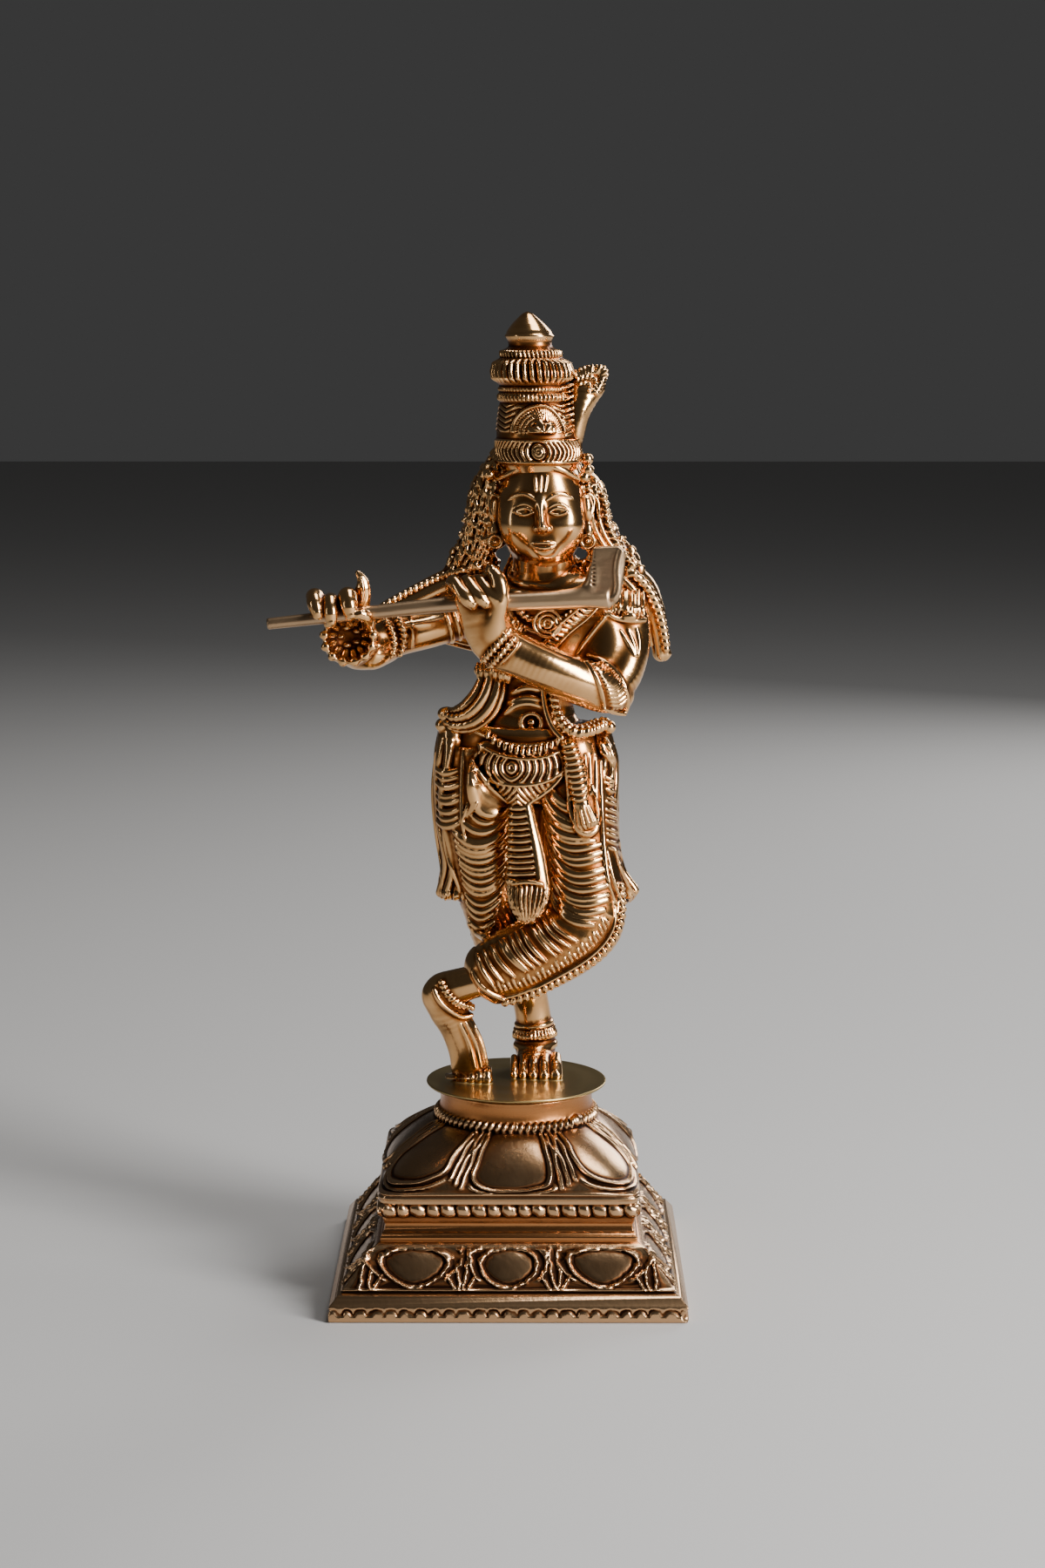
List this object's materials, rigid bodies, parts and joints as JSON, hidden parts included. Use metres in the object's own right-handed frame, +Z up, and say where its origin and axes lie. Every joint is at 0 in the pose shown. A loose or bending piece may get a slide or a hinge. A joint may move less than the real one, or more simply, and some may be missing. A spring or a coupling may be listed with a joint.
{
  "type": "krishna figure",
  "caption": "Small cast metal figure of a flute player with a tall crown, standing cross-legged on a square lotus plinth.",
  "frame": {"origin": "middle of the plinth's flat underside", "axes": "+Z up, -Y towards the viewer of the figure's face, +X to that viewer's right"},
  "size_m": [0.0889, 0.076, 0.2107],
  "materials": {
    "polished_bronze": "polished cast bronze, rose gold on the high places and dark copper in the recesses",
    "plinth_bronze": "cast bronze, duller and filed, with worn edges",
    "brushed_bronze": "brushed matte bronze, greyer than the figure"
  },
  "bodies": {
    "root": {"flute_player": "polished_bronze", "lotus_plinth": "plinth_bronze", "flute": "brushed_bronze"}
  },
  "joints": []
}
